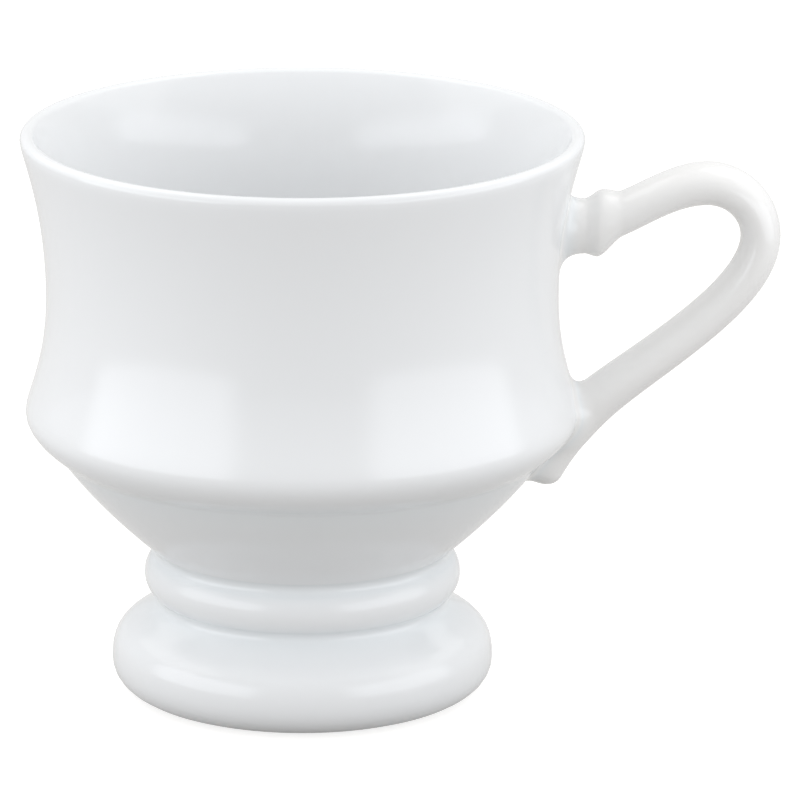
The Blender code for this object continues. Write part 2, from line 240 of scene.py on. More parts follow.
def bowl_outside(s):
    """The bowl's outer side from the lip down to the joint with the foot."""
    lip = (s.rim_radius, s.cup_height - s.lip_round)
    waist = (s.waist_radius, s.waist_height)
    shoulder = (s.shoulder_radius, s.shoulder_height)
    crease = (s.crease_radius, s.crease_height)
    base = (s.base_radius, s.base_height)
    above = moved(crease, UNDERSIDE_SLOPE, s.crease_fillet)
    below = moved(crease, LOWER_BOWL_TOP_SLOPE, s.crease_fillet * -1)
    shoulder_handle = (shoulder[0], shoulder[1] - s.shoulder_round_below * (2 / 3))
    overhang = s.shoulder_radius - s.crease_radius
    above_handle = moved(crease, UNDERSIDE_SLOPE, overhang * UNDERSIDE_FULLNESS)
    reach = (s.crease_height - s.base_height) * LOWER_BOWL_FULLNESS
    below_handle = moved(below, LOWER_BOWL_TOP_SLOPE, reach * -1)
    base_handle = moved(base, LOWER_BOWL_BASE_SLOPE, reach)
    return [
        upright(lip, waist, lip[0] - waist[0], s.lip_round, s.waist_round_above, -1),
        upright(waist, shoulder, shoulder[0] - waist[0], s.waist_round_below, s.shoulder_round_above, -1),
        ((shoulder, shoulder_handle, above_handle, above), (0, 1)),
        fillet(above, crease, below),
        ((below, below_handle, base_handle, base), (1, 0)),
    ]


def bowl_profile(s):
    rim = rim_centre(s)
    lip = [
        round_arc(rim, s.lip_round, math.pi - LIP_FLARE, math.pi / 2),
        round_arc(rim, s.lip_round, math.pi / 2, 0),
    ]
    underside = [straight((s.base_radius, s.base_height), (0, s.base_height))]
    return bowl_inside(s) + lip + bowl_outside(s) + underside


def foot_profile(s):
    """The foot from the middle of its top, over the collar and the ring, to the middle of its hollow."""
    centre = (s.collar_radius - s.collar_round, s.collar_height)
    seat = (s.seat_radius, s.seat_height)
    seat_lip = (s.seat_radius, s.joint_height)
    joint = (s.joint_radius, s.joint_height)
    upper_crease = moved(centre, COLLAR_TOP_ANGLE, s.collar_round)
    lower_crease = moved(centre, COLLAR_BOTTOM_ANGLE, s.collar_round)
    above_collar = moved(upper_crease, LOWER_BOWL_BASE_SLOPE, s.crease_fillet)
    fillet_angle = FOOT.crease_fillet / FOOT.collar_round  # an angle is a plain number, not a node
    collar_start = COLLAR_TOP_ANGLE - fillet_angle
    collar_end = COLLAR_BOTTOM_ANGLE + fillet_angle
    collar_middle = (collar_start + collar_end) / 2
    collar = [
        round_arc(centre, s.collar_round, collar_start, collar_middle, (1, 0)),
        round_arc(centre, s.collar_round, collar_middle, collar_end, (0, 1)),
    ]
    below_collar = moved(lower_crease, -FOOT_TOP_SLOPE, s.crease_fillet)
    widest = (s.foot_radius, s.widest_height)
    flare = s.foot_radius - lower_crease[0]
    top_handle = moved(lower_crease, -FOOT_TOP_SLOPE, flare * FOOT_TOP_FULLNESS)
    side_rise = lower_crease[1] - s.widest_height
    widest_handle = (s.foot_radius, s.widest_height + side_rise * FOOT_SIDE_FULLNESS)
    ring = (s.ring_outer + s.ring_round, 0)
    edge_handle = (s.foot_radius, s.widest_height - s.widest_height * FOOT_EDGE_FULLNESS)
    ring_handle = (ring[0] + (s.foot_radius - ring[0]) * RING_FULLNESS, 0)
    hollow_edge = (s.ring_inner, s.ring_round)
    hollow_handle = (s.ring_inner, s.hollow_depth * HOLLOW_FULLNESS)
    ceiling_handle = (s.ring_inner * HOLLOW_FULLNESS, s.hollow_depth)
    return [
        straight((0, s.seat_height), seat),
        straight(seat, seat_lip),
        straight(seat_lip, joint),
        straight(joint, above_collar, (0, 1)),
        fillet(above_collar, upper_crease, collar[0][0][0]),
        *collar,
        fillet(collar[1][0][3], lower_crease, below_collar),
        ((below_collar, top_handle, widest_handle, widest), (1, 0)),
        ((widest, edge_handle, ring_handle, ring), (0, 0)),
        straight(ring, (s.ring_inner + s.ring_round, 0)),
        round_arc((s.ring_inner + s.ring_round, s.ring_round), s.ring_round, -math.pi / 2, -math.pi),
        ((hollow_edge, hollow_handle, ceiling_handle, (0, s.hollow_depth)), (0, 0)),
    ]


STRETCH_POINTS = ("Start", "Start Handle", "End Handle", "End")


def stretch_group():
    """A node group that turns one stretch of a profile round the Z axis."""
    tree = bpy.data.node_groups.new("turned stretch", 'GeometryNodeTree')
    for name in STRETCH_POINTS:
        tree.interface.new_socket(name, in_out='INPUT', socket_type='NodeSocketVector')
    for name in ("Pooled At Start", "Pooled At End", "Row Spacing"):
        tree.interface.new_socket(name, in_out='INPUT', socket_type='NodeSocketFloat')
    tree.interface.new_socket("Turn Steps", in_out='INPUT', socket_type='NodeSocketInt')
    tree.interface.new_socket("Mesh", in_out='OUTPUT', socket_type='NodeSocketGeometry')
    given = tree.nodes.new('NodeGroupInput').outputs
    curve = add_node(tree, 'GeometryNodeCurvePrimitiveBezierSegment',
                     {name: given[name] for name in STRETCH_POINTS}, mode='POSITION')
    curve.inputs["Resolution"].default_value = CURVE_STEPS
    length = add_node(tree, 'GeometryNodeCurveLength', {"Curve": curve.outputs["Curve"]})
    rows = Length(tree, length.outputs["Length"]) / given["Row Spacing"]
    rows = rows.worked('MAXIMUM', rows, FEWEST_ROWS)
    columns = Length(tree, given["Turn Steps"]) + 1
    grid = add_node(tree, 'GeometryNodeMeshGrid',
                    {"Size X": 1, "Size Y": 1, "Vertices X": rows.socket, "Vertices Y": columns.socket})
    place = add_node(tree, 'ShaderNodeSeparateXYZ', {0: grid.outputs["UV Map"]})
    along = place.outputs["X"]
    sample = add_node(tree, 'GeometryNodeSampleCurve',
                      {"Curves": curve.outputs["Curve"], "Factor": along}, mode='FACTOR')
    angle = Length(tree, place.outputs["Y"]) * math.tau
    turned = add_node(tree, 'ShaderNodeVectorRotate',
                      {"Vector": sample.outputs["Position"], "Angle": angle.socket}, rotation_type='Z_AXIS')
    shaped = add_node(tree, 'GeometryNodeSetPosition',
                      {"Geometry": grid.outputs["Mesh"], "Position": turned.outputs["Vector"]})
    pooled = add_node(tree, 'ShaderNodeMapRange',
                      {"Value": along, "To Min": given["Pooled At Start"], "To Max": given["Pooled At End"]})
    shares = {"Geometry": shaped.outputs["Geometry"], "Name": "pooled", "Value": pooled.outputs["Result"]}
    stored = add_node(tree, 'GeometryNodeStoreNamedAttribute', shares, data_type='FLOAT', domain='POINT')
    add_node(tree, 'NodeGroupOutput', {"Mesh": stored.outputs["Geometry"]})
    return tree


def label(size):
    return size.replace("_", " ").title()


def turned_tree(name, sizes, profile, stretches):
    """A node tree that turns a whole profile into a closed surface, with an input for each of its sizes."""
    tree = bpy.data.node_groups.new(name, 'GeometryNodeTree')
    tree.interface.new_socket("Geometry", in_out='INPUT', socket_type='NodeSocketGeometry')
    for size in vars(sizes):
        tree.interface.new_socket(label(size), in_out='INPUT', socket_type='NodeSocketFloat')
    tree.interface.new_socket("Row Spacing", in_out='INPUT', socket_type='NodeSocketFloat')
    tree.interface.new_socket("Turn Steps", in_out='INPUT', socket_type='NodeSocketInt')
    tree.interface.new_socket("Axis", in_out='INPUT', socket_type='NodeSocketVector')
    tree.interface.new_socket("Material", in_out='INPUT', socket_type='NodeSocketMaterial')
    tree.interface.new_socket("Geometry", in_out='OUTPUT', socket_type='NodeSocketGeometry')
    given = tree.nodes.new('NodeGroupInput').outputs
    lengths = SimpleNamespace(**{size: Length(tree, given[label(size)]) for size in vars(sizes)})
    whole = add_node(tree, 'GeometryNodeJoinGeometry')
    for points, pooled in profile(lengths):
        feeds = {"Row Spacing": given["Row Spacing"], "Turn Steps": given["Turn Steps"]}
        feeds["Pooled At Start"], feeds["Pooled At End"] = pooled
        for socket, (radius, height) in zip(STRETCH_POINTS, points):
            spot = {"X": getattr(radius, "socket", radius), "Z": getattr(height, "socket", height)}
            feeds[socket] = add_node(tree, 'ShaderNodeCombineXYZ', spot).outputs["Vector"]
        stretch = add_node(tree, 'GeometryNodeGroup', feeds, node_tree=stretches)
        tree.links.new(stretch.outputs["Mesh"], whole.inputs["Geometry"])
    merged = add_node(tree, 'GeometryNodeMergeByDistance',
                      {"Geometry": whole.outputs["Geometry"], "Distance": MERGE_DISTANCE})
    placed = add_node(tree, 'GeometryNodeTransform',
                      {"Geometry": merged.outputs["Geometry"], "Translation": given["Axis"]})
    smooth = add_node(tree, 'GeometryNodeSetShadeSmooth', {"Geometry": placed.outputs["Geometry"]})
    real = add_node(tree, 'GeometryNodeRealizeInstances', {"Geometry": smooth.outputs["Geometry"]})
    coated = add_node(tree, 'GeometryNodeSetMaterial',
                      {"Geometry": real.outputs["Geometry"], "Material": given["Material"]})
    add_node(tree, 'NodeGroupOutput', {"Geometry": coated.outputs["Geometry"]})
    return tree


def new_piece(name, data):
    """An object in the scene, from a mesh, a light or a camera."""
    piece = bpy.data.objects.new(name, data)
    bpy.context.scene.collection.objects.link(piece)
    return piece


def turned_piece(name, sizes, profile, stretches, material):
    """A turned piece as a plain mesh, made by its node tree."""
    tree = turned_tree(name + " turning", sizes, profile, stretches)
    values = {label(size): value for size, value in vars(sizes).items()}
    values.update({"Row Spacing": ROW_SPACING, "Turn Steps": TURN_STEPS})
    values.update({"Axis": CUP_AXIS, "Material": material})
    piece = new_piece(name, bpy.data.meshes.new(name))
    turning = piece.modifiers.new("turning", 'NODES')
    turning.node_group = tree
    for socket in tree.interface.items_tree:
        if socket.in_out == 'INPUT' and socket.name in values:
            turning[socket.identifier] = values[socket.name]
    graph = bpy.context.evaluated_depsgraph_get()
    mesh = bpy.data.meshes.new_from_object(piece.evaluated_get(graph))
    piece.modifiers.remove(turning)
    piece.data = mesh
    mesh.name = name
    mesh.set_sharp_from_angle(angle=SHARP_ANGLE)
    return piece


# The handle. Its route lies in the plane through the cup's axis, as distance from the axis and height.
HANDLE = SimpleNamespace(
    neck_height=BOWL.cup_height - 0.0139,
    neck_length=0.0029,
    neck_thickness=0.0079,
    root_above=0.0010,
    root_aside=0.0020,
    root_below=0.0032,
    bead_thickness=0.0094,
    bead_offset=0.0021,
    bead_rise=0.0004,
    bead_fade=0.0037,
    rise_slope=math.radians(24),
    rise_height=0.0064,
    reach=handle_high.x - CUP_AXIS.x,
    crown_height=handle_high.z,
    crown_thickness=0.0061,
    bend_radius=0.0077,
    strap_thickness=0.0057,
    strap_width=0.0084,
    strap_fullness=0.265,
    strap_root=(BOWL.shoulder_radius + 0.0013, BOWL.shoulder_height - 0.00025),
    strap_root_slope=math.radians(46),
    strap_root_fill=0.0008,
    strap_root_swell=0.0002,
    tail_end=(BOWL.crease_radius, BOWL.crease_height - 0.0035),
    tail_slope=math.radians(62),
    tail_thickness=0.0046,
    tail_width=0.0070,
)
# How far the handles of a cubic curve reach along a quarter circle, as a share of its radius
QUARTER_HANDLE = 0.5523

# The strap's landing on the bowl: the fillet round it, and the skirt's outline on the bowl.
LANDING_TOP = BOWL.shoulder_height + 0.0079
LANDING_BOTTOM = BOWL.crease_height - 0.0104
LANDING_HALF_WIDTH = 0.0105
CROTCH_FILLET = 0.0018
TAIL_FILLET = 0.0040
SKIRT_DEPTH = 0.00005
SKIRT_START = 0.8
CAP_DEPTH = 0.0006

# How far the neck's root spreads under the wall's skin: at its cap, and at the skirt
ROOT_CAP_SPREAD = 1.1
ROOT_SKIRT_SPREAD = 1.15

# Facets of the handle
HANDLE_COLUMNS = 64
FILLET_ROWS = 10
LANDING_ROWS = 40
SETTLE_ROUNDS = 40
ROUTE_STEPS = 30
LONG_ROUTE_STEPS = 160
AROUND = np.arange(HANDLE_COLUMNS) * math.tau / HANDLE_COLUMNS


def cubic(points, count):
    """Points on a cubic curve, both ends included."""
    start, start_handle, end_handle, end = np.array(points)
    t = np.linspace(0, 1, count)[:, None]
    s = 1 - t
    return s**3 * start + 3 * s * s * t * start_handle + 3 * s * t * t * end_handle + t**3 * end


def outer_side():
    """Radii and heights of the bowl's outer side, from the lowest point up."""
    points = np.concatenate([cubic(points, LONG_ROUTE_STEPS) for points, pooled in bowl_outside(BOWL)])
    points = points[np.argsort(points[:, 1])]
    return points[:, 0], points[:, 1]


SIDE_RADII, SIDE_HEIGHTS = outer_side()


def bowl_radius(height):
    return np.interp(height, SIDE_HEIGHTS, SIDE_RADII)


def bowl_gap(points):
    """How far points are outside the bowl's outer side."""
    nudge = 0.00005
    height = points[..., 2]
    slope = (bowl_radius(height + nudge) - bowl_radius(height - nudge)) / (2 * nudge)
    return (np.hypot(points[..., 0], points[..., 1]) - bowl_radius(height)) / np.sqrt(1 + slope**2)


def eased(t):
    """A share that leaves one end gently and comes gently to the other."""
    return t * t * (3 - 2 * t)


def oval(thickness, width):
    """A section's half sizes: towards the handle's outer side, towards its inner side, and to each side."""
    return np.array((thickness / 2, thickness / 2, width / 2))


def graded(points, start_size, end_size, ease=eased, tilts=None):
    """Sections along a route: middles, half sizes and tilts, square to the route unless tilts are given."""
    share = np.linspace(0, 1, len(points))
    if tilts:
        tilt = tilts[0] + (tilts[1] - tilts[0]) * share
    else:
        along = np.gradient(points, axis=0)
        tilt = np.arctan2(along[:, 1], along[:, 0])
    return points, start_size + (end_size - start_size) * ease(share)[:, None], tilt


def joined(*stretches):
    """One run of sections from stretches that share their ends."""
    first, *others = stretches
    return tuple(np.concatenate([first[i]] + [other[i][1:] for other in others]) for i in range(3))


def neck_end():
    return float(bowl_radius(HANDLE.neck_height)) + HANDLE.neck_length, HANDLE.neck_height


def upper_route():
    """Sections from the neck's narrowest place over the bead and the crown to the bend."""
    h = HANDLE
    neck = neck_end()
    bead = (neck[0] + h.bead_offset, neck[1] + h.bead_rise)
    third = h.bead_offset / 3
    bead_handle = moved(bead, h.rise_slope, -third)
    swell = cubic((neck, (neck[0] + third, neck[1]), bead_handle, bead), ROUTE_STEPS // 2)
    fade = moved(bead, h.rise_slope, h.bead_fade)
    off_bead = cubic(straight(bead, fade)[0], ROUTE_STEPS // 2)
    bend = bend_point()
    crown = (bend[0] - h.bend_radius, bend[1] + h.bend_radius)
    reach = math.dist(crown, fade) / 3
    rise = cubic((fade, moved(fade, h.rise_slope, reach), (crown[0] - reach, crown[1]), crown), ROUTE_STEPS)
    quarter = h.bend_radius * QUARTER_HANDLE
    over = cubic((crown, (crown[0] + quarter, crown[1]), (bend[0], bend[1] + quarter), bend), ROUTE_STEPS)
    narrow = oval(h.neck_thickness, h.neck_thickness)
    round_bead = oval(h.bead_thickness, h.bead_thickness)
    rising = oval(h.rise_height, h.strap_width)
    full = oval(h.crown_thickness, h.strap_width)
    level = (0, 0)
    return joined(
        graded(swell, narrow, round_bead, tilts=level),
        graded(off_bead, round_bead, rising, tilts=level),
        graded(rise, rising, full, tilts=level),
        graded(over, full, oval(h.strap_thickness, h.strap_width)),
    )


def bend_point():
    """The middle of the strap where the handle reaches farthest out."""
    h = HANDLE
    return h.reach - h.strap_thickness / 2, h.crown_height - h.crown_thickness / 2 - h.bend_radius


def lower_route():
    """Sections from the bend down to the shoulder, and along it to the tail's end."""
    h = HANDLE
    bend = bend_point()
    root = h.strap_root
    fall = math.dist(bend, root) * h.strap_fullness
    reach = math.dist(root, h.tail_end) / 3
    back = (bend, (bend[0], bend[1] - fall), moved(root, h.strap_root_slope, fall), root)
    tail = (root, moved(root, h.strap_root_slope, -reach), moved(h.tail_end, h.tail_slope, reach), h.tail_end)
    strap = oval(h.strap_thickness, h.strap_width)
    at_root = strap + np.array((h.strap_root_swell, h.strap_root_fill, 0))
    return joined(
        graded(cubic(back, LONG_ROUTE_STEPS), strap, at_root, ease=lambda t: t**4),
        graded(cubic(tail, LONG_ROUTE_STEPS // 2), at_root, oval(h.tail_thickness, h.tail_width)),
    )


def ring(middle, size, tilt):
    """The closed oval line of one section."""
    outward = np.cos(AROUND)
    reach = outward * np.where(outward > 0, size[0], size[1])
    return np.column_stack((
        middle[0] - math.sin(tilt) * reach,
        np.sin(AROUND) * size[2],
        middle[1] + math.cos(tilt) * reach,
    ))


def strap_gap(points, route):
    """How far points are outside the strap, whose last section is closed by a rounded tip."""
    middles, sizes, tilts = route
    flat = points[..., [0, 2]]
    nearest = np.argmin(((flat[..., None, :] - middles)**2).sum(axis=-1), axis=-1)
    size, tilt = sizes[nearest], tilts[nearest]
    offset = flat - middles[nearest]
    across = offset[..., 1] * np.cos(tilt) - offset[..., 0] * np.sin(tilt)
    along = offset[..., 0] * np.cos(tilt) + offset[..., 1] * np.sin(tilt)
    beyond = np.where(nearest == len(middles) - 1, np.maximum(along, 0), 0)
    half_thickness = np.where(across > 0, size[..., 0], size[..., 1])
    halves = np.stack((half_thickness, size[..., 2], size[..., 0]), axis=-1)
    place = np.stack((across, points[..., 1], beyond), axis=-1) / halves
    share = np.linalg.norm(place, axis=-1)
    return share * (share - 1) / np.linalg.norm(place / halves, axis=-1)


def landing_fillet(height):
    """The size of the fillet round the landing, which grows from the crotch down to the tail."""
    return np.interp(height, (HANDLE.tail_end[1], LANDING_TOP), (TAIL_FILLET, CROTCH_FILLET))


def landed_gap(points, route):
    """How far points are outside the strap and bowl together, with a fillet between and the skirt sunk in."""
    strap = strap_gap(points, route)
    size = landing_fillet(points[..., 2])
    sunk = SKIRT_DEPTH * eased(np.clip(strap / size - SKIRT_START, 0, 1))
    bowl = bowl_gap(points) + sunk
    overlap = np.maximum(1 - np.abs(strap - bowl) / size, 0)
    return np.minimum(strap, bowl) - overlap**2 * size / 4, overlap


def settled(grid, route):
    """A grid with its inner rows spread evenly over the filleted surface of strap and bowl."""
    nudge = 0.00002
    for _ in range(SETTLE_ROUNDS):
        beside = np.roll(grid, 1, axis=1)[1:-1] + np.roll(grid, -1, axis=1)[1:-1]
        grid[1:-1] = grid[1:-1] / 2 + (grid[:-2] + grid[2:] + beside) / 8
        for _ in range(2):
            inner = grid[1:-1]
            gap = landed_gap(inner, route)[0]
            steps = [landed_gap(inner + nudge * axis, route)[0] - gap for axis in np.eye(3)]
            slope = np.stack(steps, axis=-1) / nudge
            inner -= slope * (gap / (slope**2).sum(axis=-1))[..., None]
    return grid


def landing(first_ring, along, route):
    """Rows from a ring of the strap down onto the bowl, and how much glaze pools on them."""
    height = (LANDING_TOP + LANDING_BOTTOM) / 2 - np.cos(AROUND) * (LANDING_TOP - LANDING_BOTTOM) / 2
    aside = np.sin(AROUND) * LANDING_HALF_WIDTH
    radius = bowl_radius(height) - SKIRT_DEPTH
    skirt = np.column_stack((np.sqrt(radius**2 - aside**2), aside, height))
    reach = np.linalg.norm(skirt - first_ring, axis=1)[:, None] / 3
    outward = np.column_stack((np.ones(HANDLE_COLUMNS), np.zeros(HANDLE_COLUMNS), np.zeros(HANDLE_COLUMNS)))
    t = np.linspace(0, 1, LANDING_ROWS)[:, None, None]
    s = 1 - t
    lead, trail = first_ring + along * reach, skirt + outward * reach
    grid = s**3 * first_ring + 3 * s * s * t * lead + 3 * s * t * t * trail + t**3 * skirt
    grid = settled(grid, route)
    return grid, landed_gap(grid, route)[1]


def neck_root():
    """Rows from inside the wall out to the neck's narrowest place, and how much glaze pools on them."""
    h = HANDLE
    end = neck_end()
    upward = np.cos(AROUND)
    spread = h.root_aside + upward**2 * (np.where(upward > 0, h.root_above, h.root_below) - h.root_aside)
    neck = h.neck_thickness / 2

    def on_wall(reach, lift):
        aside = reach * np.sin(AROUND)
        height = end[1] + reach * upward
        return np.column_stack((np.sqrt(bowl_radius(height)**2 - aside**2) + lift, aside, height))

    length = end[0] - on_wall(neck, 0)[:, 0]
    cap = on_wall(neck + spread * ROOT_CAP_SPREAD, -CAP_DEPTH)
    skirt = on_wall(neck + spread * ROOT_SKIRT_SPREAD, -SKIRT_DEPTH)
    rows = [cap, skirt]
    pooled = [0, 0]
    for t in np.linspace(1, 0, FILLET_ROWS):
        rows.append(on_wall(neck + spread * t**2, length * (1 - t)**2))
        pooled.append(4 * t * (1 - t))
    return rows, [np.full(HANDLE_COLUMNS, share) for share in pooled]


def handle_rows():
    """The handle's closed lines of points from inside the wall at the neck to inside the shoulder."""
    rows, pooled = neck_root()
    upper, lower = upper_route(), lower_route()
    rings = [ring(*section) for section in zip(*upper)][1:]
    clear = next(i for i, section in enumerate(zip(*lower)) if bowl_gap(ring(*section)).min() < CROTCH_FILLET)
    kept = np.linspace(0, clear, ROUTE_STEPS).astype(int)
    rings += [ring(lower[0][i], lower[1][i], lower[2][i]) for i in kept[1:]]
    tilt = lower[2][clear]
    landed, landed_pooled = landing(rings[-1], np.array((math.cos(tilt), 0, math.sin(tilt))), lower)
    inside = landed[-1] - np.array((CAP_DEPTH, 0, 0))
    rows += rings + list(landed[1:]) + [inside]
    pooled += [np.zeros(HANDLE_COLUMNS) for _ in rings] + list(landed_pooled[1:]) + [np.zeros(HANDLE_COLUMNS)]
    return rows, pooled


def rows_mesh(name, rows, pooled):
    """A closed mesh from closed lines of points, each end drawn together to a middle point."""
    columns = len(rows[0])
    points = np.concatenate(rows + [[rows[0].mean(axis=0)], [rows[-1].mean(axis=0)]]) + np.array(CUP_AXIS)
    first_middle, last_middle = len(points) - 2, len(points) - 1
    last_row = (len(rows) - 1) * columns
    faces = []
    for k in range(columns):
        j = (k + 1) % columns
        faces.append((first_middle, j, k))
        faces.append((last_middle, last_row + k, last_row + j))
        for row in range(0, last_row, columns):
            faces.append((row + k, row + j, row + columns + j, row + columns + k))
    mesh = bpy.data.meshes.new(name)
    mesh.from_pydata(points.tolist(), [], faces)
    shares = mesh.attributes.new("pooled", 'FLOAT', 'POINT')
    shares.data.foreach_set("value", np.concatenate(pooled + [[0, 0]]).astype(np.float32))
    mesh.shade_smooth()
    return mesh


# The glaze
WHITE_GLAZE = (0.86, 0.87, 0.88, 1)
# The handle's white is the same glaze made warmer: painted warm light on the handle, standing in for the
# warmer light that falls there
HANDLE_GLAZE_PAINTED_WARM_LIGHT = (0.87, 0.862, 0.85, 1)
POOLED_GLAZE = (0.80, 0.83, 0.845, 1)
BARE_CLAY = (0.82, 0.82, 0.81, 1)
DARK_GRAIN = (0.76, 0.76, 0.75, 1)
GLAZE_ROUGHNESS = 0.12
GLAZE_INDEX = 1.6
CLAY_ROUGHNESS = 0.55
BARE_RING_HEIGHT = 0.0004
BARE_RING_EDGE = 0.7

# The texture of the glaze and the clay: noise scales per metre, heights in metres, and shares of a tint
WAVE_SCALE = 60
WAVE_HEIGHT = 0.00002
PEEL_SCALE = 420
PEEL_HEIGHT = 0.0000012
CLOUD_SCALE = 35
CLOUD_SHARE = 0.15
CREASE_FALLOFF = 3
CREASE_SHARE = 0.8
GRAIN_SCALE = 900


def shader_group(name, inputs, outputs):
    tree = bpy.data.node_groups.new(name, 'ShaderNodeTree')
    for socket, kind in inputs.items():
        tree.interface.new_socket(socket, in_out='INPUT', socket_type=kind)
    for socket, kind in outputs.items():
        tree.interface.new_socket(socket, in_out='OUTPUT', socket_type=kind)
    return tree


def ripple_group():
    """The height of the slow waves and the fine peel that fired glaze has."""
    tree = shader_group("glaze ripple", {}, {"Height": 'NodeSocketFloat'})
    place = tree.nodes.new('ShaderNodeTexCoord').outputs["Object"]
    waves = add_node(tree, 'ShaderNodeTexNoise', {"Vector": place, "Scale": WAVE_SCALE, "Detail": 1})
    peel = add_node(tree, 'ShaderNodeTexNoise', {"Vector": place, "Scale": PEEL_SCALE, "Detail": 1})
    tall = add_node(tree, 'ShaderNodeMath', {0: waves.outputs["Fac"], 1: WAVE_HEIGHT}, operation='MULTIPLY')
    heights = {0: peel.outputs["Fac"], 1: PEEL_HEIGHT, 2: tall.outputs[0]}
    both = add_node(tree, 'ShaderNodeMath', heights, operation='MULTIPLY_ADD')
    add_node(tree, 'NodeGroupOutput', {"Height": both.outputs[0]})
    return tree


def tint_group():
    """The glaze's white, a little cloudy, and cooler where it lies thick in a crease."""
    tree = shader_group("glaze tint", {"White": 'NodeSocketColor', "Pooled White": 'NodeSocketColor'},
                        {"Color": 'NodeSocketColor'})
    given = tree.nodes.new('NodeGroupInput').outputs
    place = tree.nodes.new('ShaderNodeTexCoord').outputs["Object"]
    clouds = add_node(tree, 'ShaderNodeTexNoise', {"Vector": place, "Scale": CLOUD_SCALE, "Detail": 3})
    share = {0: clouds.outputs["Fac"], 1: CLOUD_SHARE}
    cloudy = add_node(tree, 'ShaderNodeMath', share, operation='MULTIPLY')
    pooled = add_node(tree, 'ShaderNodeAttribute', attribute_name="pooled")
    falloff = {0: pooled.outputs["Fac"], 1: CREASE_FALLOFF}
    crease = add_node(tree, 'ShaderNodeMath', falloff, operation='POWER')
    both = {0: crease.outputs[0], 1: CREASE_SHARE, 2: cloudy.outputs[0]}
    depth = add_node(tree, 'ShaderNodeMath', both, operation='MULTIPLY_ADD')
    mixed = add_node(tree, 'ShaderNodeMix', data_type='RGBA')
    tree.links.new(depth.outputs[0], mixed.inputs["Factor"])
    tree.links.new(given["White"], mixed.inputs[6])
    tree.links.new(given["Pooled White"], mixed.inputs[7])
    add_node(tree, 'NodeGroupOutput', {"Color": mixed.outputs[2]})
    return tree


def new_material(name, roughness):
    material = bpy.data.materials.new(name)
    material.use_nodes = True
    shader = material.node_tree.nodes["Principled BSDF"]
    shader.inputs["Roughness"].default_value = roughness
    return material, material.node_tree, shader


def rippled(tree, shader, ripple):
    height = add_node(tree, 'ShaderNodeGroup', node_tree=ripple).outputs["Height"]
    bump = add_node(tree, 'ShaderNodeBump', {"Height": height, "Distance": 1})
    tree.links.new(bump.outputs["Normal"], shader.inputs["Normal"])


def tinted(tree, tint, white):
    group = add_node(tree, 'ShaderNodeGroup', node_tree=tint)
    group.inputs["White"].default_value = white
    group.inputs["Pooled White"].default_value = POOLED_GLAZE
    return group.outputs["Color"]


def glaze_material(name, white, ripple, tint):
    """Glossy white glaze."""
    material, tree, shader = new_material(name, GLAZE_ROUGHNESS)
    shader.inputs["IOR"].default_value = GLAZE_INDEX
    tree.links.new(tinted(tree, tint, white), shader.inputs["Base Color"])
    rippled(tree, shader, ripple)
    return material


def foot_material(ripple, tint):
    """The same glaze, wiped off the ring that the cup stands on, where the clay is bare."""
    material, tree, shader = new_material("foot glaze", GLAZE_ROUGHNESS)
    shader.inputs["IOR"].default_value = GLAZE_INDEX
    place = tree.nodes.new('ShaderNodeTexCoord').outputs["Object"]
    height = add_node(tree, 'ShaderNodeSeparateXYZ', {0: place}).outputs["Z"]
    edge = {"Value": height, "From Min": BARE_RING_HEIGHT * BARE_RING_EDGE, "From Max": BARE_RING_HEIGHT}
    glazed = add_node(tree, 'ShaderNodeMapRange', edge)
    mixed = add_node(tree, 'ShaderNodeMix', {"Factor": glazed.outputs["Result"]}, data_type='RGBA')
    mixed.inputs[6].default_value = BARE_CLAY
    tree.links.new(tinted(tree, tint, WHITE_GLAZE), mixed.inputs[7])
    tree.links.new(mixed.outputs[2], shader.inputs["Base Color"])
    finish = {"Value": glazed.outputs["Result"], "To Min": CLAY_ROUGHNESS, "To Max": GLAZE_ROUGHNESS}
    rough = add_node(tree, 'ShaderNodeMapRange', finish)
    tree.links.new(rough.outputs["Result"], shader.inputs["Roughness"])
    rippled(tree, shader, ripple)
    return material


def slip_material():
    """Bare fired slip with a fine grain."""
    material, tree, shader = new_material("fired slip", CLAY_ROUGHNESS)
    place = tree.nodes.new('ShaderNodeTexCoord').outputs["Object"]
    grain = add_node(tree, 'ShaderNodeTexNoise', {"Vector": place, "Scale": GRAIN_SCALE, "Detail": 2})
    mixed = add_node(tree, 'ShaderNodeMix', {"Factor": grain.outputs["Fac"]}, data_type='RGBA')
    mixed.inputs[6].default_value = BARE_CLAY
    mixed.inputs[7].default_value = DARK_GRAIN
    tree.links.new(mixed.outputs[2], shader.inputs["Base Color"])
    return material


ripple = ripple_group()
tint = tint_group()
bowl_glaze = glaze_material("bowl glaze", WHITE_GLAZE, ripple, tint)
# The handle's glaze carries painted warm light: a warmer copy of the bowl's white
handle_glaze_painted_warm_light = glaze_material("handle glaze", HANDLE_GLAZE_PAINTED_WARM_LIGHT, ripple, tint)
foot_glaze = foot_material(ripple, tint)
stretches = stretch_group()

glazed_bowl = turned_piece("glazed_bowl", BOWL, bowl_profile, stretches, bowl_glaze)
glazed_foot = turned_piece("glazed_foot", FOOT, foot_profile, stretches, foot_glaze)
glazed_handle = new_piece("glazed_handle", rows_mesh("glazed_handle", *handle_rows()))
glazed_handle.data.materials.append(handle_glaze_painted_warm_light)
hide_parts("cup_bowl")
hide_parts("pedestal_foot")
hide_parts("handle", "handle_slip_upper")
for piece in (glazed_bowl, glazed_foot, glazed_handle):
    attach(piece, "root")

fired_slip = slip_material()
for node in ("foot_slip", "handle_slip_lower"):
    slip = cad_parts[node]
    slip.data.materials.clear()
    slip.data.materials.append(fired_slip)


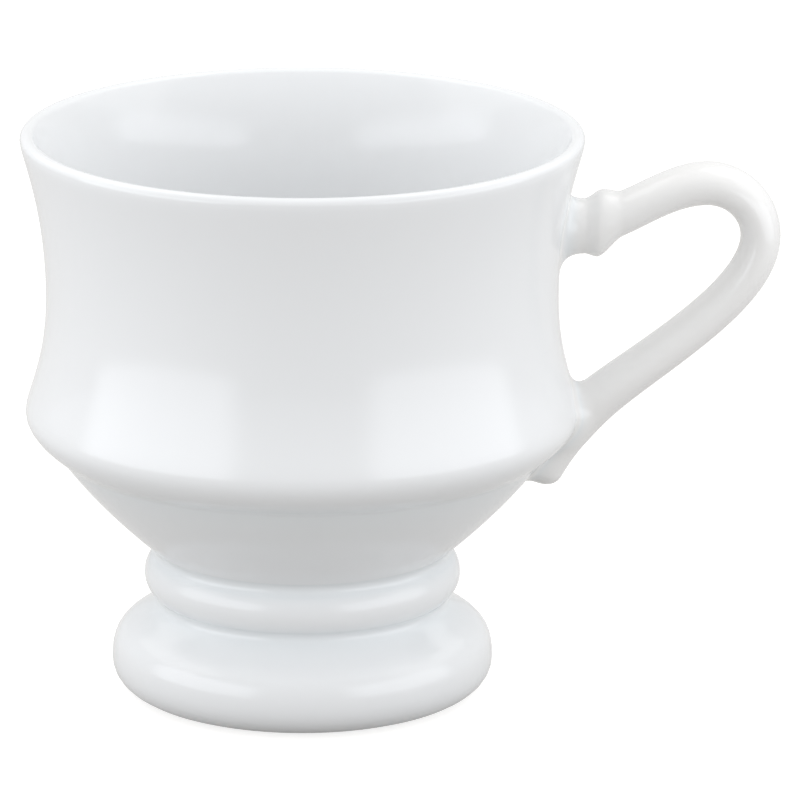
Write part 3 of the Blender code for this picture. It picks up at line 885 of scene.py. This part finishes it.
# Stage: a grey table top that the camera sees as white, between large soft boxes. A light's strength is its
# brightness, where 1 is white.
TABLE_SIZE = 3.0
TABLE_DROP = 0.0001
TABLE_ROUGHNESS = 0.9
TABLE_GREY = (0.40, 0.388, 0.372, 1)
TABLE_GLOW = 0.80
MIRRORED_GLOW = 0.45
LIGHT_DISTANCE = 0.30
FRONT_FADE = 0.2
DAYLIGHT = (0.97, 1.0, 1.05)
AMBIENT_STRENGTH = 0.81


def seen_or_mirrored(tree):
    """One for what the camera sees, a share of it for what is mirrored, and none for scattered light."""
    path = tree.nodes.new('ShaderNodeLightPath').outputs
    rays = {0: path["Is Glossy Ray"], 1: path["Is Transmission Ray"]}
    mirrored = add_node(tree, 'ShaderNodeMath', rays, operation='MAXIMUM')
    both = {0: mirrored.outputs[0], 1: MIRRORED_GLOW, 2: path["Is Camera Ray"]}
    return add_node(tree, 'ShaderNodeMath', both, operation='MULTIPLY_ADD').outputs[0]


def table_material():
    """Matt grey, lifted to white where it is seen or mirrored, with the cup's shadow on it."""
    material, tree, shader = new_material("table top", TABLE_ROUGHNESS)
    shader.inputs["Base Color"].default_value = TABLE_GREY
    shader.inputs["Specular IOR Level"].default_value = 0
    glow = add_node(tree, 'ShaderNodeMix', data_type='RGBA')
    tree.links.new(seen_or_mirrored(tree), glow.inputs["Factor"])
    glow.inputs[6].default_value = (0, 0, 0, 1)
    glow.inputs[7].default_value = (TABLE_GLOW, TABLE_GLOW, TABLE_GLOW, 1)
    tree.links.new(glow.outputs[2], shader.inputs["Emission Color"])
    shader.inputs["Emission Strength"].default_value = 1
    return material


def add_table():
    half = TABLE_SIZE / 2
    mesh = bpy.data.meshes.new("table_top")
    corners = [(-half, -half), (half, -half), (half, half), (-half, half)]
    mesh.from_pydata([(CUP_AXIS.x + x, y, -TABLE_DROP) for x, y in corners], [], [(0, 1, 2, 3)])
    mesh.materials.append(table_material())
    new_piece("table_top", mesh)


def add_world():
    """Even white light from all sides."""
    world = bpy.data.worlds.new("studio")
    bpy.context.scene.world = world
    world.use_nodes = True
    background = world.node_tree.nodes["Background"]
    background.inputs["Color"].default_value = (1, 1, 1, 1)
    background.inputs["Strength"].default_value = AMBIENT_STRENGTH


def fade_edges(light, share):
    """Let a light box fade out towards its edges, over this share of its width and height at each end."""
    light.use_nodes = True
    tree = light.node_tree
    place = tree.nodes.new('ShaderNodeNewGeometry').outputs["Parametric"]
    offset = add_node(tree, 'ShaderNodeVectorMath', {0: place, 1: (0.5, 0.5, 0)}, operation='SUBTRACT')
    from_middle = add_node(tree, 'ShaderNodeVectorMath', {0: offset.outputs[0]}, operation='ABSOLUTE')
    fade = add_node(tree, 'ShaderNodeMapRange', data_type='FLOAT_VECTOR', interpolation_type='SMOOTHSTEP')
    tree.links.new(from_middle.outputs[0], fade.inputs["Vector"])
    fade.inputs[7].default_value = (0.5 - share, 0.5 - share, 0)
    fade.inputs[8].default_value = (0.5, 0.5, 1)
    fade.inputs[9].default_value = (1, 1, 1)
    fade.inputs[10].default_value = (0, 0, 0)
    ways = add_node(tree, 'ShaderNodeSeparateXYZ', {0: fade.outputs["Vector"]}).outputs
    both = add_node(tree, 'ShaderNodeMath', {0: ways[0], 1: ways[1]}, operation='MULTIPLY')
    tree.links.new(both.outputs[0], tree.nodes["Emission"].inputs["Strength"])


def add_soft_box(name, azimuth, elevation, across, upward, strength, colour=(1, 1, 1), fade=0):
    """A soft light that faces the cup and covers the given half angles, in degrees, as seen from there.

    Azimuth runs from the camera's side towards the handle. A box that fades reaches beyond the half angles,
    and has half its strength there.
    """
    light = bpy.data.lights.new(name, 'AREA')
    light.shape = 'RECTANGLE'
    light.color = colour
    light.size = 2 * LIGHT_DISTANCE * math.tan(math.radians(across)) / (1 - fade)
    light.size_y = 2 * LIGHT_DISTANCE * math.tan(math.radians(upward)) / (1 - fade)
    light.energy = math.pi * light.size * light.size_y * strength
    if fade:
        fade_edges(light, fade)
    box = new_piece(name, light)
    turn = math.radians(azimuth)
    lift = math.radians(elevation)
    away = Vector((math.sin(turn) * math.cos(lift), -math.cos(turn) * math.cos(lift), math.sin(lift)))
    box.location = CUP_AXIS + Vector((0, 0, BOWL.cup_height / 2)) + away * LIGHT_DISTANCE
    box.rotation_euler = away.to_track_quat('Z', 'Y').to_euler()
    box.visible_camera = False


# Camera, as fitted to the photo: it looks at the cup's axis from a metre away and is turned a little aside.
CAMERA_DISTANCE = 1.0
CAMERA_TILT = math.radians(16.044)
CAMERA_LENS = 314.4
CAMERA_SENSOR = 36
AIM_HEIGHT = 0.040
TURN_ASIDE = 0.013957
TURN_UP = 0.002347


def add_camera():
    camera = bpy.data.cameras.new("camera")
    camera.lens = CAMERA_LENS
    camera.sensor_width = CAMERA_SENSOR
    forward = Vector((0, math.cos(CAMERA_TILT), -math.sin(CAMERA_TILT)))
    right = Vector((1, 0, 0))
    up = right.cross(forward)
    stand = CUP_AXIS + Vector((0, 0, AIM_HEIGHT)) - forward * CAMERA_DISTANCE
    looking = (forward + right * TURN_ASIDE + up * TURN_UP).normalized()
    across = (right - looking * right.dot(looking)).normalized()
    upright = across.cross(looking)
    turn = Matrix((across, upright, -looking)).transposed()
    view = new_piece("camera", camera)
    view.matrix_world = Matrix.Translation(stand) @ turn.to_4x4()
    bpy.context.scene.camera = view


add_table()
add_world()
for side, way, front_strength in (("left", -1, 1.34), ("right", 1, 1.28)):
    add_soft_box("front box " + side, azimuth=way * 62, elevation=8, across=34, upward=16,
                 strength=front_strength, colour=DAYLIGHT, fade=FRONT_FADE)
    add_soft_box("back box " + side, azimuth=way * 107, elevation=39, across=32, upward=16, strength=0.48)
    add_soft_box("high box " + side, azimuth=way * 118.5, elevation=62, across=18.5, upward=11, strength=0.9)
add_soft_box("box above", azimuth=0, elevation=89, across=25, upward=25, strength=0.25)
add_camera()
bpy.context.scene.view_settings.view_transform = 'Standard'
